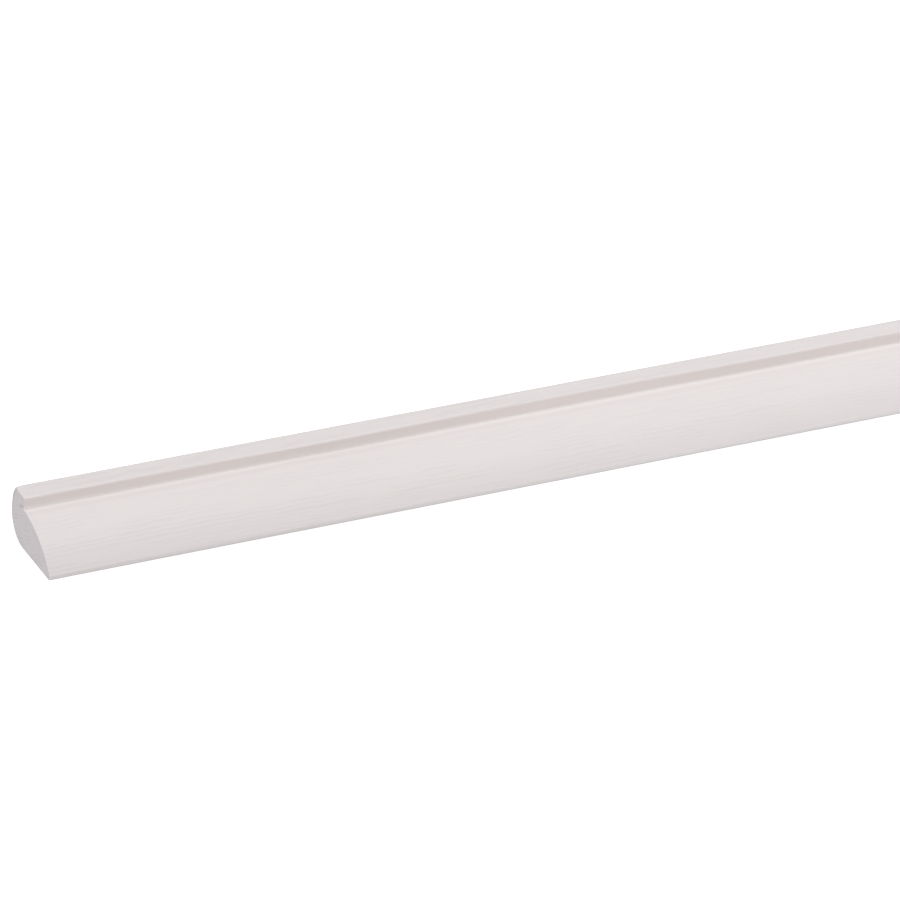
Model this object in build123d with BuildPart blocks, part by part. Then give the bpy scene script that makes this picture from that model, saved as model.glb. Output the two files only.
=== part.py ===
from build123d import *
import os

os.makedirs("parts", exist_ok=True)

# Glazing bead: a stick of white-primed softwood with a quirked ovolo face.
# Millimetres, +Z up. It lies on its wide glass face with its length along X.
# The moulded face looks to -Y and rises to a flat band beside the back at +Y.

# The stock, sawn square at both ends
length = 2400.0
width = 22.0
thickness = 13.0

# The moulded face, from the thin front edge up to the flat band
land_height = 1.2
ovolo_radius = 23.7
quirk_depth = 3.0
band_width = 6.0

# The rounded corner that clears the edge of the pane and its setting blocks
heel_radius = 8.0

# Edges eased by the cutter and the primer
back_arris_radius = 0.8
band_arris_radius = 0.5
land_arris_radius = 0.4
toe_arris_radius = 0.4
quirk_root_radius = 0.3

# Corners of the section before they are rounded, as points in Y and Z
front = -width / 2
back = width / 2
wall = back - band_width
toe = (front, 0)
land_top = (front, land_height)
quirk_root = (wall, thickness - quirk_depth)
band_edge = (wall, thickness)
back_top = (back, thickness)
heel = (back, 0)

# Each corner with the radius that rounds it
roundings = [
    (heel, heel_radius),
    (back_top, back_arris_radius),
    (band_edge, band_arris_radius),
    (quirk_root, quirk_root_radius),
    (land_top, land_arris_radius),
    (toe, toe_arris_radius),
]

with BuildPart() as glazing_bead:
    with BuildSketch(Plane.YZ.offset(-length / 2)) as section:
        with BuildLine():
            Line(toe, land_top)
            RadiusArc(land_top, quirk_root, ovolo_radius)
            Polyline(quirk_root, band_edge, back_top, heel, toe)
        make_face()
        for corner, radius in roundings:
            fillet(section.vertices().sort_by_distance(corner)[0], radius)
    extrude(amount=length)

glazing_bead.part.label = "glazing_bead"
export_step(glazing_bead.part, "parts/glazing_bead.step")
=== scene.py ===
# %% [markdown]
# # A glazing bead in white primer
# A glazing bead is a thin stick of moulded softwood that holds a pane in its frame.
# The machined model is loaded first. It is the fixed frame that every finish is fitted to.

# %% The frame
import math
import bpy
import bmesh
from mathutils import Matrix, Vector


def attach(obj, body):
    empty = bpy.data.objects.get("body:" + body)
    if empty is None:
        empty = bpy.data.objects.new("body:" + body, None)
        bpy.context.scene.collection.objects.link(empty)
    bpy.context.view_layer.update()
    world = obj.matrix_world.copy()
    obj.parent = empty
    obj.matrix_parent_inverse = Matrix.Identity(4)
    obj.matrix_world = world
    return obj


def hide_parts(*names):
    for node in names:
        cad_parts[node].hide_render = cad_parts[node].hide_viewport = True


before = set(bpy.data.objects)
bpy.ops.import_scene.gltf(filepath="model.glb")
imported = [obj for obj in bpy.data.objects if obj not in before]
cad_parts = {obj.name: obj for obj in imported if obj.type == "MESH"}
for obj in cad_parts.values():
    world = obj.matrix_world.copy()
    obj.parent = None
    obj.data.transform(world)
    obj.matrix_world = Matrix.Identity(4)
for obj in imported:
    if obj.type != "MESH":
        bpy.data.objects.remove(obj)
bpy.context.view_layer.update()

# %% [markdown]
# ## The section
# On the real bead one set of cutters makes the whole outline in a single pass: a thin upright
# land at the front, a shallow ovolo, a square quirk, a flat band and a rounded heel behind.
# It could be traced as a curve by hand. Here the corners are written down as sizes, and one
# helper rounds each corner with an arc, because a cutter and a coat of primer do the same.

# %% Sizes of the section in millimetres
bead_length = 2400.0
bead_width = 22.0
bead_thickness = 13.0
land_height = 1.2
ovolo_radius = 23.7
quirk_depth = 3.0
band_width = 6.0
heel_radius = 8.0
back_arris_radius = 0.8
band_arris_radius = 0.5
land_arris_radius = 0.4
toe_arris_radius = 0.4
quirk_root_radius = 0.3
millimetre = 0.001

front_y = -bead_width / 2
back_y = bead_width / 2
wall_y = back_y - band_width
print("flat band from", wall_y, "to", back_y, "mm")


# %% Points along the ovolo
def ovolo_points(start, end, radius, count):
    """Points strictly between start and end on the bulging arc of that radius."""
    middle = (start + end) / 2
    chord = end - start
    away = Vector((chord.y, -chord.x)).normalized()
    centre = middle + away * math.sqrt(radius ** 2 - (chord.length / 2) ** 2)
    first = math.atan2(start.y - centre.y, start.x - centre.x)
    last = math.atan2(end.y - centre.y, end.x - centre.x)
    turns = [first + (last - first) * k / count for k in range(1, count)]
    return [centre + radius * Vector((math.cos(a), math.sin(a))) for a in turns]


land_top = Vector((front_y, land_height))
quirk_root = Vector((wall_y, bead_thickness - quirk_depth))
ovolo_steps = 60
ovolo = ovolo_points(land_top, quirk_root, ovolo_radius, ovolo_steps)
print("ovolo points:", len(ovolo), "first", tuple(round(v, 2) for v in ovolo[0]))


# %% Rounding the corners
def rounded_corner(before, corner, after, radius, steps):
    """The arc of that radius that replaces a corner, from the first leg to the second."""
    one = (before - corner).normalized()
    two = (after - corner).normalized()
    half = one.angle(two) / 2
    reach = radius / math.tan(half)
    centre = corner + (one + two).normalized() * (radius / math.sin(half))
    start = corner + one * reach - centre
    turn = start.angle_signed(corner + two * reach - centre)
    return [centre + Matrix.Rotation(-turn * k / steps, 2) @ start for k in range(steps + 1)]


# Each corner: its place, the radius that eases it, and the number of steps in the arc
corners = [
    (Vector((front_y, 0.0)), toe_arris_radius, 5),
    (land_top, land_arris_radius, 4),
    *[(point, 0.0, 0) for point in ovolo],
    (quirk_root, quirk_root_radius, 4),
    (Vector((wall_y, bead_thickness)), band_arris_radius, 6),
    (Vector((back_y, bead_thickness)), back_arris_radius, 7),
    (Vector((back_y, 0.0)), heel_radius, 22),
]

outline = []
for k, (corner, radius, steps) in enumerate(corners):
    if radius == 0.0:
        outline.append(corner)
        continue
    before = corners[k - 1][0]
    after = corners[(k + 1) % len(corners)][0]
    outline.extend(rounded_corner(before, corner, after, radius, steps))
print("outline points after rounding:", len(outline))

# %% Even spacing on the straight faces
face_step = 0.5
section_points = []
for point, following in zip(outline, outline[1:] + outline[:1]):
    pieces = max(1, math.ceil((following - point).length / face_step))
    section_points += [point.lerp(following, k / pieces) for k in range(pieces)]
print("section points:", len(section_points))

# %% The section as a ring of edges
mid_height = bead_thickness / 2
section_mesh = bpy.data.meshes.new("bead_section")
section_mesh.from_pydata(
    [(p.x * millimetre, (p.y - mid_height) * millimetre, 0.0) for p in section_points],
    [(k, (k + 1) % len(section_points)) for k in range(len(section_points))],
    [],
)
section = bpy.data.objects.new("bead_section", section_mesh)
bpy.context.collection.objects.link(section)
print("edges in the ring:", len(section_mesh.edges))

# %% [markdown]
# ## The growth rings
# The stick is cut from a log, so the rings run through all of it: long lines on the moulded
# face and short arcs on the sawn end. A flat stripe texture would not agree at the corner.
# A solid pattern does: the distance from the log's pith, bent by a little noise, taken in
# steps of one ring. Planing draws every ripple of the fibres out along the face, while the
# saw leaves cleaner arcs, so the helper is told how much ripple to show. Sanding and primer
# hide the lines here and there, so a second noise breaks them up. The same helper builds the
# rings in the geometry tree and in the materials, because both kinds of tree share these
# math and noise nodes.


# %% Helpers that add nodes
def add_node(tree, kind, settings=(), **inputs):
    """Adds a node, sets its properties, and links or sets its inputs by name or number."""
    node = tree.nodes.new(kind)
    for name, value in dict(settings).items():
        setattr(node, name, value)
    for name, value in inputs.items():
        numbered = name[1:].isdigit()
        socket = node.inputs[int(name[1:])] if numbered else node.inputs[name.replace("_", " ")]
        if isinstance(value, bpy.types.NodeSocket):
            tree.links.new(value, socket)
        else:
            socket.default_value = value
    return node


def math_node(tree, operation, first, second=0.0, third=0.0):
    """The result of one math step."""
    node = add_node(tree, "ShaderNodeMath", {"operation": operation}, i0=first, i1=second, i2=third)
    return node.outputs[0]


def product(tree, *factors):
    """All the factors multiplied."""
    result = factors[0]
    for factor in factors[1:]:
        result = math_node(tree, "MULTIPLY", result, factor)
    return result


def weighted_sum(tree, *terms):
    """The sum of the values, each times its weight."""
    total = 0.0
    for value, weight in terms:
        total = math_node(tree, "MULTIPLY_ADD", value, weight, total)
    return total


# %% Helpers for places and steps
def ramp(tree, value, start, end):
    """A smooth step from 0 at start to 1 at end, which may lie the other way round."""
    low, high = min(start, end), max(start, end)
    first, last = (0.0, 1.0) if start < end else (1.0, 0.0)
    node = add_node(
        tree, "ShaderNodeMapRange", {"interpolation_type": "SMOOTHSTEP"},
        Value=value, From_Min=low, From_Max=high, To_Min=first, To_Max=last,
    )
    return node.outputs[0]


def in_millimetres(tree, place):
    """The three coordinates of a place, in millimetres."""
    node = add_node(tree, "ShaderNodeVectorMath", {"operation": "SCALE"}, i0=place, Scale=1 / millimetre)
    return add_node(tree, "ShaderNodeSeparateXYZ", i0=node.outputs[0]).outputs


def stretched_noise(tree, place, along, across, detail, seed):
    """Noise whose blobs are long in X and narrow across, sizes in metres."""
    scaled = add_node(
        tree, "ShaderNodeVectorMath", {"operation": "MULTIPLY_ADD"},
        i0=place, i1=(1 / along, 1 / across, 1 / across), i2=(seed, seed * 1.7, seed * 2.3),
    )
    noise = add_node(
        tree, "ShaderNodeTexNoise", {"noise_dimensions": "3D"},
        Vector=scaled.outputs[0], Scale=1.0, Detail=detail, Roughness=0.5,
    )
    return noise.outputs[0]


# %% The rings, in millimetres
pith_y = -26.0
pith_z = -59.0
ring_step = 0.9
ring_start = 0.55
ring_bend = 4.5
planed_ripple = 1.1
sawn_ripple = 0.35
grain_drift_y = 0.004
grain_drift_z = 0.006


def growth_rings(tree, place, ripple_size):
    """0 in the soft early wood of a ring, 1 on its hard late line."""
    x, y, z = in_millimetres(tree, place)
    sideways = weighted_sum(tree, (y, 1.0), (x, -grain_drift_y))
    sideways = math_node(tree, "SUBTRACT", sideways, pith_y)
    upwards = weighted_sum(tree, (z, 1.0), (x, -grain_drift_z))
    upwards = math_node(tree, "SUBTRACT", upwards, pith_z)
    radius = math_node(tree, "SQRT", weighted_sum(tree, (sideways, sideways), (upwards, upwards)))
    bend = stretched_noise(tree, place, along=0.110, across=0.010, detail=2.0, seed=3.1)
    ripple = stretched_noise(tree, place, along=0.006, across=0.0024, detail=2.0, seed=9.2)
    ripple = math_node(tree, "SUBTRACT", ripple, 0.5)
    bent = weighted_sum(
        tree, (ring_start, 1.0), (radius, 1.0), (bend, ring_bend), (ripple, ripple_size),
    )
    ring = math_node(tree, "FRACT", math_node(tree, "DIVIDE", bent, ring_step))
    line = product(tree, ramp(tree, ring, 0.25, 0.85), ramp(tree, ring, 1.0, 0.86))
    worn = stretched_noise(tree, place, along=0.022, across=0.0030, detail=2.0, seed=6.4)
    kept = math_node(tree, "MULTIPLY_ADD", ramp(tree, worn, 0.38, 0.62), 0.92, 0.08)
    return product(tree, line, kept)


print("rings", ring_step, "mm apart, pith", round(math.hypot(pith_y, pith_z)), "mm from the bead")

# %% [markdown]
# ## The primer
# The factory primer is a thin matt white coat, a little warm, that hides the colour of the
# wood and not quite its grain. It could be one flat colour, but then the stick looks moulded
# in plastic. So the coat is a shade thinner on the late lines, and it is patchy over a few
# centimetres. Painted shade darkens it towards the two ends, towards the thin front edge, on
# the band, in the root of the quirk and along the toe. The upright wall of the quirk is warm
# and darker, with painted shade. A painted highlight lightens the foot of that wall and the
# ovolo beside it, a strip just beyond is a little darker, and painted light lightens the
# front land. The rings, the fibres and a slight spray texture lift it through a bump.

# %% A material with its shader
def new_finish(name):
    """A new material with its tree, its shader and the place on the piece."""
    finish = bpy.data.materials.new(name)
    finish.use_nodes = True
    tree = finish.node_tree
    shader = tree.nodes["Principled BSDF"]
    place = tree.nodes.new("ShaderNodeTexCoord").outputs["Object"]
    return finish, tree, shader, place


def mix_colours(tree, factor, first, second):
    """A colour between two, by a factor."""
    node = add_node(tree, "ShaderNodeMix", {"data_type": "RGBA"}, i0=factor)
    for socket, value in ((node.inputs[6], first), (node.inputs[7], second)):
        if isinstance(value, bpy.types.NodeSocket):
            tree.links.new(value, socket)
        else:
            socket.default_value = (*value, 1.0)
    return node.outputs[2]


# %% Towards the two ends
primer, tree, shader, place = new_finish("primer_coat")
x, y, z = in_millimetres(tree, place)
# A ramp that rises towards each end: it darkens the coat there with painted shade, sets the strength of
# other painted marks, and lets more grain show
end_zone_length = 300.0
from_middle = math_node(tree, "ABSOLUTE", x)
toward_ends = add_node(
    tree, "ShaderNodeMapRange",
    Value=from_middle, From_Min=bead_length / 2 - end_zone_length, From_Max=bead_length / 2,
).outputs[0]
print("the ends darken over", end_zone_length, "mm at each end")

# %% The band and the wall
root_z = quirk_root.y
# Painted shade: the flat band is made a little darker than the ovolo
shaded_band = ramp(tree, y, wall_y + 0.3, wall_y + 0.9)
# The upright wall of the quirk gets a warm tint and painted shade
on_wall = product(
    tree,
    ramp(tree, y, wall_y - 0.25, wall_y - 0.05),
    ramp(tree, y, wall_y + 0.8, wall_y + 0.5),
    ramp(tree, z, root_z, root_z + 0.6),
    ramp(tree, z, bead_thickness - 0.05, bead_thickness - 0.35),
)
print("wall of the quirk from", root_z, "to", bead_thickness, "mm")

# %% The foot of the wall
near_root = ramp(tree, z, root_z - 1.5, root_z - 0.8)
# Painted highlight: a lighter line at the foot of the wall and on the ovolo beside it
foot_highlight = product(
    tree,
    ramp(tree, y, wall_y - 1.7, wall_y - 0.7),
    ramp(tree, y, wall_y + 0.1, wall_y),
    ramp(tree, z, root_z + 1.3, root_z + 0.5),
    near_root,
)
# A strip of the ovolo just beyond that line is made a little darker
beside_foot = product(
    tree,
    ramp(tree, y, wall_y - 2.9, wall_y - 2.0),
    ramp(tree, y, wall_y - 0.9, wall_y - 1.6),
    near_root,
)
# Painted shade in the root corner, on the first fraction of a millimetre of the ovolo
root_shade = product(
    tree,
    ramp(tree, y, wall_y - 0.55, wall_y - 0.15),
    ramp(tree, y, wall_y + 0.1, wall_y),
    ramp(tree, z, root_z + 0.12, root_z),
    near_root,
)
print("nodes with the foot of the wall:", len(tree.nodes))

# %% The front land and the toe
# Painted light: the upright front land is lightened
land_light = product(
    tree,
    ramp(tree, y, front_y + 0.6, front_y + 0.1),
    ramp(tree, z, land_height + 0.3, land_height - 0.2),
    ramp(tree, z, 0.2, 0.6),
)
# Painted shade along the toe, where the bead meets the floor
toe_shade = product(tree, ramp(tree, y, front_y + 0.9, front_y + 0.5), ramp(tree, z, 0.5, 0.15))
# Painted shade: the coat darkens towards the front edge, over the lower ovolo and the land
front_shade_start = -3.5
front_shade = ramp(tree, y, front_shade_start, front_y)
print("painted shade grows from", front_shade_start, "mm to the front edge at", front_y, "mm")

# %% How much darker the coat is, from a thinner coat and from painted shade
# The grain shows least on the upper ovolo and most near the ends
upper_ovolo = product(tree, ramp(tree, y, -6.0, 4.0), ramp(tree, y, wall_y + 1.0, wall_y))
grain_kept = product(
    tree,
    math_node(tree, "MULTIPLY_ADD", upper_ovolo, -0.65, 1.0),
    math_node(tree, "MULTIPLY_ADD", toward_ends, 0.4, 0.6),
)
rings = product(tree, growth_rings(tree, place, planed_ripple), grain_kept)
patches = stretched_noise(tree, place, along=0.060, across=0.010, detail=3.0, seed=7.3)
fibres = stretched_noise(tree, place, along=0.009, across=0.00036, detail=2.0, seed=1.9)
spray = stretched_noise(tree, place, along=0.0011, across=0.0008, detail=2.0, seed=5.7)
# Painted shade on the wall of the quirk, stronger towards the ends
wall_shade = product(tree, on_wall, math_node(tree, "MULTIPLY_ADD", toward_ends, 0.20, 0.05))
strip_darkening = product(tree, beside_foot, math_node(tree, "MULTIPLY_ADD", toward_ends, 0.10, 0.10))
# The sum holds a thinner coat and painted shade: towards the ends, the front edge, the band, the wall
# and the root
darkening = weighted_sum(
    tree,
    (rings, 0.23),
    (patches, 0.18),
    (fibres, 0.24),
    (spray, 0.08),
    (toward_ends, 0.34),
    (front_shade, 0.20),
    (shaded_band, 0.08),
    (wall_shade, 1.0),
    (strip_darkening, 1.0),
    (root_shade, 0.50),
)
print("primer nodes so far:", len(tree.nodes))

# %% How much of the tint, the painted shade and the painted light shows
wall_share = 0.5
toe_shade_share = 0.35
# Painted highlight on the lower wall, just above the root
wall_foot_light = product(
    tree,
    ramp(tree, z, root_z + 0.05, root_z + 0.25),
    math_node(tree, "MULTIPLY_ADD", toward_ends, 0.4, 0.1),
)
foot_highlight_share = weighted_sum(tree, (0.4, 1.0), (toward_ends, -0.2), (wall_foot_light, 1.0))
land_light_share = math_node(tree, "MULTIPLY_ADD", ramp(tree, toward_ends, 0.75, 0.40), 0.49, 0.26)
print("share of warm tint and painted shade on the wall", wall_share, "and of painted shade on the toe", toe_shade_share)

# %% White primer
primer_full = (0.861, 0.814, 0.812)
# The darker coat colour, for a thinner coat and for painted shade
primer_thin_and_shade = (0.714, 0.664, 0.664)
# Colour of the painted highlight at the foot of the quirk wall
foot_highlight_colour = (0.868, 0.820, 0.798)
# Colour of the painted light on the front land
land_light_colour = (0.882, 0.857, 0.855)
# Colour of the painted shade along the toe
toe_shade_colour = (0.620, 0.600, 0.600)
# Warm tint with painted shade, for the upright wall of the quirk
wall_tint_and_shade = (0.855, 0.762, 0.724)
coat = mix_colours(tree, darkening, primer_full, primer_thin_and_shade)
coat = mix_colours(tree, product(tree, on_wall, wall_share), coat, wall_tint_and_shade)
coat = mix_colours(tree, product(tree, foot_highlight, foot_highlight_share), coat, foot_highlight_colour)
coat = mix_colours(tree, product(tree, land_light, land_light_share), coat, land_light_colour)
coat = mix_colours(tree, product(tree, toe_shade, toe_shade_share), coat, toe_shade_colour)
tree.links.new(coat, shader.inputs["Base Color"])
sheen = add_node(
    tree, "ShaderNodeMapRange",
    Value=spray, From_Min=0.3, From_Max=0.7, To_Min=0.56, To_Max=0.66,
)
tree.links.new(sheen.outputs[0], shader.inputs["Roughness"])
shader.inputs["Specular IOR Level"].default_value = 0.35
lift = weighted_sum(tree, (rings, 0.5), (fibres, 0.5), (spray, 0.35))
bump = add_node(tree, "ShaderNodeBump", Strength=0.6, Distance=0.00004, Height=lift)
tree.links.new(bump.outputs[0], shader.inputs["Normal"])
print("primer nodes:", len(tree.nodes))

# %% [markdown]
# ## The sawn end
# The ends are cut square by a circular saw. The end is darker and a touch pinker than the
# faces: partly painted shade, and partly end grain that drinks the primer. The rings show as
# arcs, and the blade leaves faint bowed scores. Beside the quirk at the near end the blade has
# torn out a small splinter. The end gets a material of its own, on the same solid rings.

# %% Rings, pores and saw scores
sawn_end, tree, shader, place = new_finish("sawn_end")
x, y, z = in_millimetres(tree, place)
rings = growth_rings(tree, place, sawn_ripple)
pores = stretched_noise(tree, place, along=0.010, across=0.00035, detail=3.0, seed=4.4)
blotches = stretched_noise(tree, place, along=0.010, across=0.0035, detail=2.0, seed=8.6)
score_step = 0.9
score_place = weighted_sum(tree, (y, 1.0), (z, 0.30), (product(tree, z, z), 0.006))
scores = math_node(tree, "SINE", product(tree, score_place, 2 * math.pi / score_step))
print("saw scores", score_step, "mm apart")

# %% The torn splinter
splinter_tilt = 0.43
along_squeeze = 0.6
across_squeeze = 1.8
splinter_y = math_node(tree, "SUBTRACT", y, wall_y + 1.3)
splinter_z = math_node(tree, "SUBTRACT", z, root_z + 0.1)
splinter_side = weighted_sum(tree, (splinter_z, 1.0), (splinter_y, splinter_tilt))
splinter = add_node(
    tree, "ShaderNodeCombineXYZ",
    X=product(tree, splinter_y, along_squeeze), Y=product(tree, splinter_side, across_squeeze),
)
reach = add_node(tree, "ShaderNodeVectorMath", {"operation": "LENGTH"}, i0=splinter.outputs[0])
ragged_reach = weighted_sum(tree, (reach.outputs["Value"], 1.0), (pores, 1.2))
near_end_only = math_node(tree, "LESS_THAN", x, 0.0)
torn = product(tree, ramp(tree, ragged_reach, 1.7, 0.9), near_end_only)
print("splinter leans", round(math.degrees(math.atan(splinter_tilt))), "degrees")

# %% End grain
# The end colours hold painted shade as well as the end grain's own tone
end_full_shaded = (0.783, 0.741, 0.753)
end_thin_shaded = (0.560, 0.520, 0.535)
torn_wood = (0.60, 0.54, 0.56)
darkening = weighted_sum(tree, (rings, 0.20), (blotches, 0.30), (pores, 0.32))
end_coat = mix_colours(tree, darkening, end_full_shaded, end_thin_shaded)
end_coat = mix_colours(tree, torn, end_coat, torn_wood)
tree.links.new(end_coat, shader.inputs["Base Color"])
dryness = add_node(
    tree, "ShaderNodeMapRange",
    Value=pores, From_Min=0.3, From_Max=0.7, To_Min=0.70, To_Max=0.85,
)
tree.links.new(dryness.outputs[0], shader.inputs["Roughness"])
shader.inputs["Specular IOR Level"].default_value = 0.25
lift = weighted_sum(tree, (scores, 0.18), (rings, 0.6), (pores, 0.6), (torn, -0.8))
bump = add_node(tree, "ShaderNodeBump", Strength=0.5, Distance=0.00006, Height=lift)
tree.links.new(bump.outputs[0], shader.inputs["Normal"])
print("sawn end nodes:", len(tree.nodes))

# %% [markdown]
# ## The bead
# A moulder pushes the stick past its cutters, so the shape is one section carried along a
# line. Geometry Nodes say just that: Curve to Mesh carries the ring of edges along X and
# closes the ends. The stations stand closer together near the two ends, where the saw has
# broken the sharp edge a little, and the hard late lines of the rings stay a hair proud.
# The arris above the quirk wavers and the top back corners are blunted. Wood is only taken
# away and none is added, so the bead never leaves its machined box.

# %% The tree and its named inputs
sweep = bpy.data.node_groups.new("bead_sweep", "GeometryNodeTree")
sweep.interface.new_socket("Geometry", in_out="INPUT", socket_type="NodeSocketGeometry")
sweep_sizes = {
    "Stations": 440,
    "Length": bead_length * millimetre,
    "Mid Height": mid_height * millimetre,
    "End Crowding": 0.95,
    "End Softening": 0.009,
    "Softened Depth": 0.00035,
    "Grain Relief": 0.000018,
    "Arris Reach": 0.003,
    "Arris Wander": 0.0006,
    "Corner Reach": 0.0032,
    "Corner Knock": 0.0007,
}
for name, value in sweep_sizes.items():
    kind = "NodeSocketInt" if isinstance(value, int) else "NodeSocketFloat"
    sweep.interface.new_socket(name, in_out="INPUT", socket_type=kind).default_value = value
sweep.interface.new_socket("Geometry", in_out="OUTPUT", socket_type="NodeSocketGeometry")
given = sweep.nodes.new("NodeGroupInput").outputs
print("sweep inputs:", [socket.name for socket in given if socket.name])

# %% The line that the section follows
half_length = product(sweep, given["Length"], 0.5)
near_x = product(sweep, half_length, -1.0)
near_end = add_node(sweep, "ShaderNodeCombineXYZ", X=near_x, Z=given["Mid Height"])
far_end = add_node(sweep, "ShaderNodeCombineXYZ", X=half_length, Z=given["Mid Height"])
line = add_node(
    sweep, "GeometryNodeCurvePrimitiveLine",
    Start=near_end.outputs[0], End=far_end.outputs[0],
)
stations = add_node(sweep, "GeometryNodeResampleCurve", Curve=line.outputs[0], Count=given["Stations"])
print("nodes for the line:", len(sweep.nodes))

# %% Stations crowded towards the ends
last_station = math_node(sweep, "SUBTRACT", given["Stations"], 1.0)
station = sweep.nodes.new("GeometryNodeInputIndex").outputs[0]
share = math_node(sweep, "DIVIDE", station, last_station)
wave = math_node(sweep, "SINE", product(sweep, share, 2 * math.pi))
pull = product(sweep, wave, given["End Crowding"], 1 / (2 * math.pi))
crowded = math_node(sweep, "SUBTRACT", math_node(sweep, "SUBTRACT", share, pull), 0.5)
station_x = product(sweep, crowded, given["Length"])
station_place = add_node(sweep, "ShaderNodeCombineXYZ", X=station_x, Z=given["Mid Height"])
path = add_node(
    sweep, "GeometryNodeSetPosition",
    Geometry=stations.outputs[0], Position=station_place.outputs[0],
)
upright = add_node(
    sweep, "GeometryNodeSetCurveNormal", {"mode": "FREE"},
    Curve=path.outputs[0], Normal=(0.0, 1.0, 0.0),
)
print("nodes with the stations:", len(sweep.nodes))

# %% The softened ends
inset = math_node(sweep, "SUBTRACT", half_length, math_node(sweep, "ABSOLUTE", station_x))
full_size = math_node(sweep, "MINIMUM", math_node(sweep, "DIVIDE", inset, given["Softened Depth"]), 1.0)
missing = product(sweep, math_node(sweep, "SUBTRACT", 1.0, full_size), given["End Softening"])
end_size = math_node(sweep, "SUBTRACT", 1.0, missing)
profile = add_node(sweep, "GeometryNodeMeshToCurve", Mesh=given["Geometry"])
stick = add_node(
    sweep, "GeometryNodeCurveToMesh",
    Curve=upright.outputs[0], Profile_Curve=profile.outputs[0], Scale=end_size, Fill_Caps=True,
)
turned_out = add_node(sweep, "GeometryNodeFlipFaces", Mesh=stick.outputs[0])
print("nodes with the sweep:", len(sweep.nodes))

# %% The grain in relief
spot = sweep.nodes.new("GeometryNodeInputPosition").outputs[0]
outward = sweep.nodes.new("GeometryNodeInputNormal").outputs[0]
soft_wood = math_node(sweep, "SUBTRACT", growth_rings(sweep, spot, planed_ripple), 1.0)
sink = product(sweep, soft_wood, given["Grain Relief"])
step_in = add_node(sweep, "ShaderNodeVectorMath", {"operation": "SCALE"}, i0=outward, Scale=sink)
grained = add_node(
    sweep, "GeometryNodeSetPosition",
    Geometry=turned_out.outputs[0], Offset=step_in.outputs[0],
)
print("nodes with the grain:", len(sweep.nodes))


# %% The wavering arris
def nearness(tree, place, goal, reach):
    """1 at the goal, falling evenly to 0 at that reach from it."""
    gap = add_node(tree, "ShaderNodeVectorMath", {"operation": "DISTANCE"}, i0=place, i1=goal)
    share = math_node(tree, "DIVIDE", gap.outputs["Value"], reach)
    return math_node(tree, "MAXIMUM", math_node(tree, "SUBTRACT", 1.0, share), 0.0)


# The arris above the quirk breaks out a little under the cutter, so its line is not straight
across = add_node(sweep, "ShaderNodeVectorMath", {"operation": "MULTIPLY"}, i0=spot, i1=(0.0, 1.0, 1.0))
arris_place = Vector((0.0, wall_y, bead_thickness)) * millimetre
closeness = nearness(sweep, across.outputs[0], arris_place, given["Arris Reach"])
waves = stretched_noise(sweep, spot, along=0.070, across=1.0, detail=1.0, seed=27.3)
waver = ramp(sweep, waves, 0.30, 0.70)
worn_back = product(sweep, closeness, waver, given["Arris Wander"])
arris_step = add_node(sweep, "ShaderNodeCombineXYZ", Y=worn_back)
wavered = add_node(
    sweep, "GeometryNodeSetPosition",
    Geometry=grained.outputs[0], Offset=arris_step.outputs[0],
)
print("nodes with the arris:", len(sweep.nodes))

# %% The blunted corners
# The top back corner of each end is the one that gets knocked when the sticks are stacked
knock_forward = -0.20
knock_down = -0.10
mirrored = add_node(sweep, "ShaderNodeVectorMath", {"operation": "ABSOLUTE"}, i0=spot)
corner_place = add_node(
    sweep, "ShaderNodeCombineXYZ",
    X=half_length, Y=back_y * millimetre, Z=bead_thickness * millimetre,
)
at_corner = nearness(sweep, mirrored.outputs[0], corner_place.outputs[0], given["Corner Reach"])
spot_x, spot_y = add_node(sweep, "ShaderNodeSeparateXYZ", i0=spot).outputs[:2]
on_back = math_node(sweep, "GREATER_THAN", spot_y, 0.0)
dent = product(sweep, at_corner, at_corner, on_back, given["Corner Knock"])
inward_x = product(sweep, math_node(sweep, "SIGN", spot_x), -1.0)
inward = add_node(sweep, "ShaderNodeCombineXYZ", X=inward_x, Y=knock_forward, Z=knock_down)
dent_step = add_node(
    sweep, "ShaderNodeVectorMath", {"operation": "SCALE"},
    i0=inward.outputs[0], Scale=dent,
)
knocked = add_node(
    sweep, "GeometryNodeSetPosition",
    Geometry=wavered.outputs[0], Offset=dent_step.outputs[0],
)
print("nodes with the corners:", len(sweep.nodes))

# %% Finishes on the faces and the ends
end_facing = 0.98
facing_x = add_node(sweep, "ShaderNodeSeparateXYZ", i0=outward).outputs[0]
is_end = add_node(
    sweep, "FunctionNodeCompare", {"data_type": "FLOAT", "operation": "GREATER_THAN"},
    i0=math_node(sweep, "ABSOLUTE", facing_x), i1=end_facing,
)
real = add_node(sweep, "GeometryNodeRealizeInstances", Geometry=knocked.outputs[0])
primed = add_node(sweep, "GeometryNodeSetMaterial", Geometry=real.outputs[0], Material=primer)
sawn = add_node(
    sweep, "GeometryNodeSetMaterial",
    Geometry=primed.outputs[0], Selection=is_end.outputs[0], Material=sawn_end,
)
sweep.links.new(sawn.outputs[0], sweep.nodes.new("NodeGroupOutput").inputs["Geometry"])
print("sweep nodes:", len(sweep.nodes))

# %% From the tree to a plain mesh
modifier = section.modifiers.new("bead_sweep", "NODES")
modifier.node_group = sweep
for socket in sweep.interface.items_tree:
    if socket.in_out == "INPUT" and socket.name in sweep_sizes:
        modifier[socket.identifier] = sweep_sizes[socket.name]
evaluated = section.evaluated_get(bpy.context.evaluated_depsgraph_get())
bead_mesh = bpy.data.meshes.new_from_object(evaluated)
section.modifiers.remove(modifier)
bpy.data.objects.remove(section)
print("bead points:", len(bead_mesh.vertices))

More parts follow.
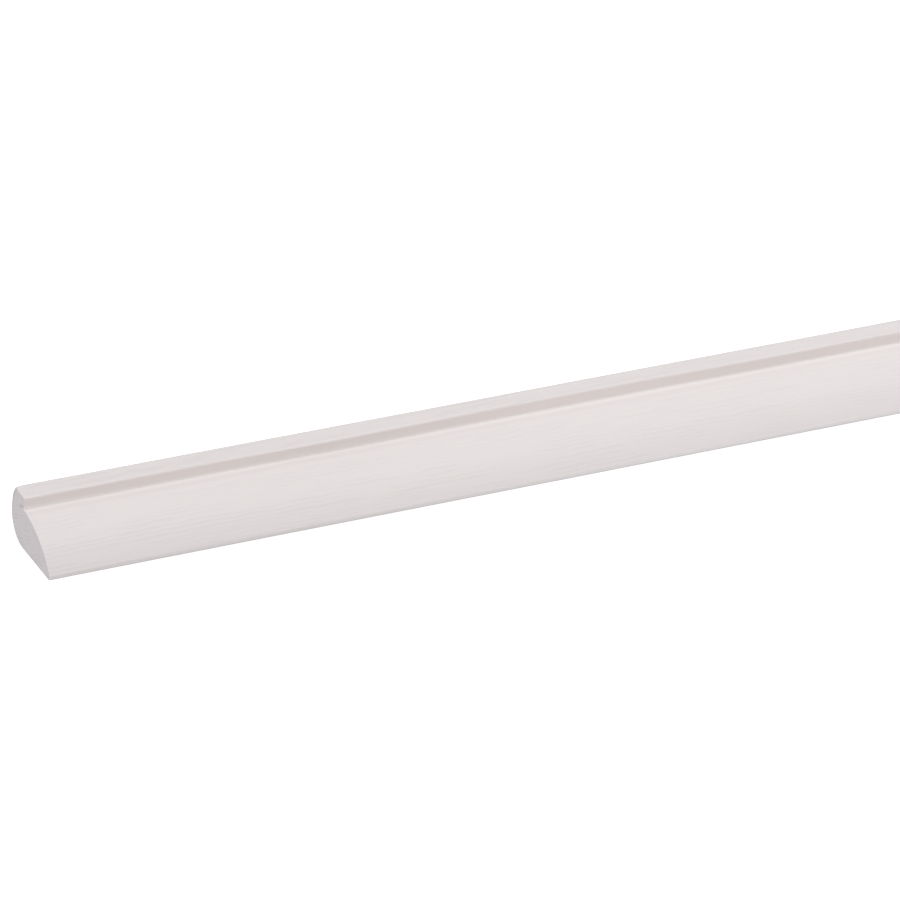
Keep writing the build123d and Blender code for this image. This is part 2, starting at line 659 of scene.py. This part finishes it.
# %% Smooth faces and flat ends
shell = bmesh.new()
shell.from_mesh(bead_mesh)
bmesh.ops.recalc_face_normals(shell, faces=shell.faces)
for face in shell.faces:
    face.smooth = abs(face.normal.x) < end_facing
open_edges = sum(1 for edge in shell.edges if not edge.is_manifold)
triangles = sum(len(face.verts) - 2 for face in shell.faces)
shell.to_mesh(bead_mesh)
shell.free()
print("triangles:", triangles, "open edges:", open_edges)
print("finishes:", [finish.name for finish in bead_mesh.materials])

# %% The bead takes the machined stick's place
bead_mesh.name = "primed_bead"
bead = bpy.data.objects.new("primed_bead", bead_mesh)
bpy.context.collection.objects.link(bead)
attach(bead, "root")
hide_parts("glazing_bead")
print("bead size, metres:", tuple(round(v, 4) for v in bead.dimensions))

# %% [markdown]
# ## The floor
# The bead lies on a plain white sweep. A white floor under even light still renders as a
# light grey, so rays that look at it see it lifted: the lit floor comes out white and only
# the shadow where the bead touches it stays. Other rays see the plain floor, so the light
# that bounces up under the moulding is real.

# %% Floor
floor_half = 40.0
floor_corners = ((-1, -1), (1, -1), (1, 1), (-1, 1))
floor_mesh = bpy.data.meshes.new("floor")
floor_points = [(i * floor_half, j * floor_half, 0.0) for i, j in floor_corners]
floor_mesh.from_pydata(floor_points, [], [(0, 1, 2, 3)])
floor = bpy.data.objects.new("floor", floor_mesh)
bpy.context.collection.objects.link(floor)
print("floor:", 2 * floor_half, "m square")


# %% White sweep
def looking_rays(tree):
    """1 for rays that look straight, in a reflection or through glass, and 0 for the rest."""
    ray = tree.nodes.new("ShaderNodeLightPath").outputs
    seen = math_node(tree, "MAXIMUM", ray["Is Camera Ray"], ray["Is Glossy Ray"])
    return math_node(tree, "MAXIMUM", seen, ray["Is Transmission Ray"])


plain_white = (1.0, 1.0, 1.0, 1.0)
paper_white = (0.8, 0.8, 0.8, 1.0)
floor_lift = 0.60
floor_finish = bpy.data.materials.new("white_sweep")
floor_finish.use_nodes = True
tree = floor_finish.node_tree
tree.nodes.clear()
paper = add_node(tree, "ShaderNodeBsdfDiffuse", Color=paper_white)
glow = add_node(tree, "ShaderNodeEmission", Color=plain_white, Strength=floor_lift)
lifted = add_node(tree, "ShaderNodeAddShader", i0=paper.outputs[0], i1=glow.outputs[0])
either = add_node(
    tree, "ShaderNodeMixShader",
    i0=looking_rays(tree), i1=paper.outputs[0], i2=lifted.outputs[0],
)
output = tree.nodes.new("ShaderNodeOutputMaterial")
tree.links.new(either.outputs[0], output.inputs["Surface"])
floor_mesh.materials.append(floor_finish)
print("floor finish:", floor_finish.name)

# %% [markdown]
# ## The light
# The studio light is broad and soft: the top of the ovolo is only a little brighter than the
# upright faces. A white world fills the shade. One wide sun straight above models the ovolo
# and darkens the quirk, and a weaker one from the front left lights the sawn end. A sun has
# no falloff, so the far end of the stick is lit like the near one.

# %% World
fill_strength = 0.42
backdrop_strength = 1.0
world = bpy.data.worlds.new("studio")
bpy.context.scene.world = world
world.use_nodes = True
tree = world.node_tree
tree.nodes.clear()
dome = add_node(tree, "ShaderNodeBackground", Color=plain_white, Strength=fill_strength)
white = add_node(tree, "ShaderNodeBackground", Color=plain_white, Strength=backdrop_strength)
either = add_node(
    tree, "ShaderNodeMixShader",
    i0=looking_rays(tree), i1=dome.outputs[0], i2=white.outputs[0],
)
output = tree.nodes.new("ShaderNodeOutputWorld")
tree.links.new(either.outputs[0], output.inputs["Surface"])
print("world:", world.name)


# %% Suns
def soft_sun(name, energy, spread, source):
    """A wide sun that shines from the direction of source."""
    lamp = bpy.data.lights.new(name, "SUN")
    lamp.energy = energy
    lamp.angle = math.radians(spread)
    sun = bpy.data.objects.new(name, lamp)
    sun.rotation_euler = Vector(source).to_track_quat("Z", "Y").to_euler()
    bpy.context.collection.objects.link(sun)
    print(name, "energy", energy, "from", source)


soft_sun("overhead_sun", 1.36, 45, (0.0, 0.0, 1.0))
soft_sun("front_left_sun", 0.68, 45, (-0.67, -0.58, 0.46))

# %% [markdown]
# ## The camera
# The picture was taken with a long lens from the front left, about thirty degrees above the
# bead, and the camera leans eight degrees. The near front corner of the bead is put at its
# measured place in the frame, and the lens and distance follow from how fast its edges
# close in.

# %% The view and the picture's measures
view_azimuth = math.radians(-32.77)
view_elevation = math.radians(32.08)
view_lean = math.radians(8.0)
picture_pixels = 900
lens_pixels = 6837.0
thickness_pixels = 55.72
corner_right_pixels = -378.66
corner_up_pixels = -185.55
pixel_size = bead_thickness * millimetre / thickness_pixels
print("one pixel at the near end:", round(pixel_size / millimetre, 3), "mm")

# %% Camera
forward = Vector((
    -math.sin(view_azimuth) * math.cos(view_elevation),
    math.cos(view_azimuth) * math.cos(view_elevation),
    -math.sin(view_elevation),
))
right = Vector((math.cos(view_azimuth), math.sin(view_azimuth), 0.0))
up = right.cross(forward)
near_corner = Vector((-bead_length / 2, front_y, 0.0)) * millimetre
to_corner = corner_right_pixels * right + corner_up_pixels * up + lens_pixels * forward
eye = near_corner - pixel_size * to_corner

camera_data = bpy.data.cameras.new("camera")
camera_data.sensor_width = 36.0
camera_data.lens = lens_pixels / picture_pixels * camera_data.sensor_width
camera_data.clip_end = 200.0
camera = bpy.data.objects.new("camera", camera_data)
turned = Matrix((right, up, -forward)).transposed() @ Matrix.Rotation(view_lean, 3, "Z")
camera.matrix_world = Matrix.Translation(eye) @ turned.to_4x4()
bpy.context.collection.objects.link(camera)
bpy.context.scene.camera = camera
bpy.context.scene.view_settings.view_transform = "Standard"
print("camera at", tuple(round(v, 3) for v in eye), "lens", round(camera_data.lens, 1), "mm")
